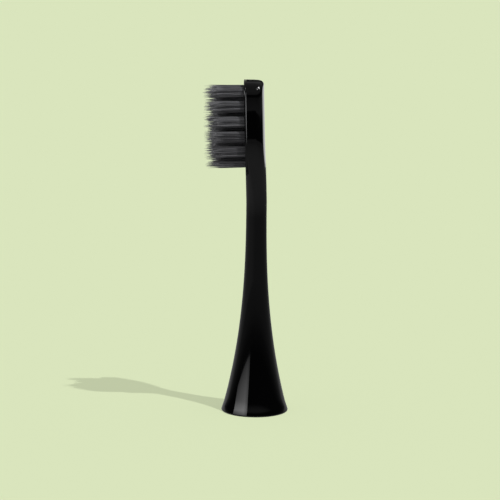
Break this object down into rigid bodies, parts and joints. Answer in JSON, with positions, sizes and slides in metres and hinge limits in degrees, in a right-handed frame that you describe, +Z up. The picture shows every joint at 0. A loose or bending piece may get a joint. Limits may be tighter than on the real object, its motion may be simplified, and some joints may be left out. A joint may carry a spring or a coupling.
{
  "type": "sonic toothbrush brush head",
  "caption": "Push-on brush head for a sonic electric toothbrush: glossy bell-footed neck, leaning paddle and dense dark tufts.",
  "frame": {"origin": "middle of the bounding box on the plane of the bell's rim, which it stands on", "axes": "+Z up along the neck, -X the way the bristles point, the head mirrored about Y = 0"},
  "size_m": [0.0204, 0.0158, 0.08],
  "materials": {
    "gloss_black_abs": "high gloss",
    "satin_black_abs": "satin",
    "charcoal_nylon": "satin filaments",
    "natural_acetal": "satin",
    "spring_steel": "rolled"
  },
  "bodies": {
    "head": {"neck_shell": "gloss_black_abs", "tuft_plate": "satin_black_abs", "filament_base": "charcoal_nylon", "shaft_hub": "natural_acetal", "retaining_ring": "satin_black_abs"},
    "spring_left": {"leaf_spring_left": "spring_steel"},
    "spring_right": {"leaf_spring_right": "spring_steel"},
    "outer_row_1": {"outer_tuft_1_left": "charcoal_nylon", "outer_tuft_1_right": "charcoal_nylon"},
    "outer_row_2": {"outer_tuft_2_left": "charcoal_nylon", "outer_tuft_2_right": "charcoal_nylon"},
    "outer_row_3": {"outer_tuft_3_left": "charcoal_nylon", "outer_tuft_3_right": "charcoal_nylon"},
    "outer_row_4": {"outer_tuft_4_left": "charcoal_nylon", "outer_tuft_4_right": "charcoal_nylon"},
    "outer_row_5": {"outer_tuft_5_left": "charcoal_nylon", "outer_tuft_5_right": "charcoal_nylon"},
    "outer_row_6": {"outer_tuft_6_left": "charcoal_nylon", "outer_tuft_6_right": "charcoal_nylon"},
    "inner_row_1": {"inner_tuft_1_left": "charcoal_nylon", "inner_tuft_1_right": "charcoal_nylon"},
    "inner_row_2": {"inner_tuft_2_left": "charcoal_nylon", "inner_tuft_2_right": "charcoal_nylon"},
    "inner_row_3": {"inner_tuft_3_left": "charcoal_nylon", "inner_tuft_3_right": "charcoal_nylon"},
    "inner_row_4": {"inner_tuft_4_left": "charcoal_nylon", "inner_tuft_4_right": "charcoal_nylon"},
    "inner_row_5": {"inner_tuft_5_left": "charcoal_nylon", "inner_tuft_5_right": "charcoal_nylon"}
  },
  "joints": [
    {"name": "spring_left_flex", "type": "hinge", "parent": "head", "child": "spring_left", "pos_m": [0.00229, 0.00243, 0.01648], "axis": [1, 0, 0], "range_deg": [0, 4], "stiffness_Nm_per_rad": 0.05},
    {"name": "spring_right_flex", "type": "hinge", "parent": "head", "child": "spring_right", "pos_m": [0.00229, -0.00243, 0.01648], "axis": [-1, 0, 0], "range_deg": [0, 4], "stiffness_Nm_per_rad": 0.05},
    {"name": "outer_row_1_bend", "type": "hinge", "parent": "head", "child": "outer_row_1", "pos_m": [-0.00086, 0, 0.07755], "axis": [0, 1, 0], "range_deg": [-10, 10], "stiffness_Nm_per_rad": 0.008},
    {"name": "outer_row_2_bend", "type": "hinge", "parent": "head", "child": "outer_row_2", "pos_m": [-0.00076, 0, 0.0742], "axis": [0, 1, 0], "range_deg": [-10, 10], "stiffness_Nm_per_rad": 0.008},
    {"name": "outer_row_3_bend", "type": "hinge", "parent": "head", "child": "outer_row_3", "pos_m": [-0.00066, 0, 0.07065], "axis": [0, 1, 0], "range_deg": [-10, 10], "stiffness_Nm_per_rad": 0.008},
    {"name": "outer_row_4_bend", "type": "hinge", "parent": "head", "child": "outer_row_4", "pos_m": [-0.00056, 0, 0.0671], "axis": [0, 1, 0], "range_deg": [-10, 10], "stiffness_Nm_per_rad": 0.008},
    {"name": "outer_row_5_bend", "type": "hinge", "parent": "head", "child": "outer_row_5", "pos_m": [-0.00045, 0, 0.06355], "axis": [0, 1, 0], "range_deg": [-10, 10], "stiffness_Nm_per_rad": 0.008},
    {"name": "outer_row_6_bend", "type": "hinge", "parent": "head", "child": "outer_row_6", "pos_m": [-0.00036, 0, 0.06048], "axis": [0, 1, 0], "range_deg": [-10, 10], "stiffness_Nm_per_rad": 0.008},
    {"name": "inner_row_1_bend", "type": "hinge", "parent": "head", "child": "inner_row_1", "pos_m": [-0.00081, 0, 0.07598], "axis": [0, 1, 0], "range_deg": [-10, 10], "stiffness_Nm_per_rad": 0.008},
    {"name": "inner_row_2_bend", "type": "hinge", "parent": "head", "child": "inner_row_2", "pos_m": [-0.00071, 0, 0.07243], "axis": [0, 1, 0], "range_deg": [-10, 10], "stiffness_Nm_per_rad": 0.008},
    {"name": "inner_row_3_bend", "type": "hinge", "parent": "head", "child": "inner_row_3", "pos_m": [-0.00061, 0, 0.06888], "axis": [0, 1, 0], "range_deg": [-10, 10], "stiffness_Nm_per_rad": 0.008},
    {"name": "inner_row_4_bend", "type": "hinge", "parent": "head", "child": "inner_row_4", "pos_m": [-0.0005, 0, 0.06532], "axis": [0, 1, 0], "range_deg": [-10, 10], "stiffness_Nm_per_rad": 0.008},
    {"name": "inner_row_5_bend", "type": "hinge", "parent": "head", "child": "inner_row_5", "pos_m": [-0.0004, 0, 0.06177], "axis": [0, 1, 0], "range_deg": [-10, 10], "stiffness_Nm_per_rad": 0.008}
  ],
  "couplings": [
    {"joint": "outer_row_1_bend", "follows": "outer_row_3_bend", "ratio": 1},
    {"joint": "outer_row_2_bend", "follows": "outer_row_3_bend", "ratio": 1},
    {"joint": "outer_row_4_bend", "follows": "outer_row_3_bend", "ratio": 1},
    {"joint": "outer_row_5_bend", "follows": "outer_row_3_bend", "ratio": 1},
    {"joint": "outer_row_6_bend", "follows": "outer_row_3_bend", "ratio": 1},
    {"joint": "inner_row_1_bend", "follows": "outer_row_3_bend", "ratio": 1},
    {"joint": "inner_row_2_bend", "follows": "outer_row_3_bend", "ratio": 1},
    {"joint": "inner_row_3_bend", "follows": "outer_row_3_bend", "ratio": 1},
    {"joint": "inner_row_4_bend", "follows": "outer_row_3_bend", "ratio": 1},
    {"joint": "inner_row_5_bend", "follows": "outer_row_3_bend", "ratio": 1}
  ]
}
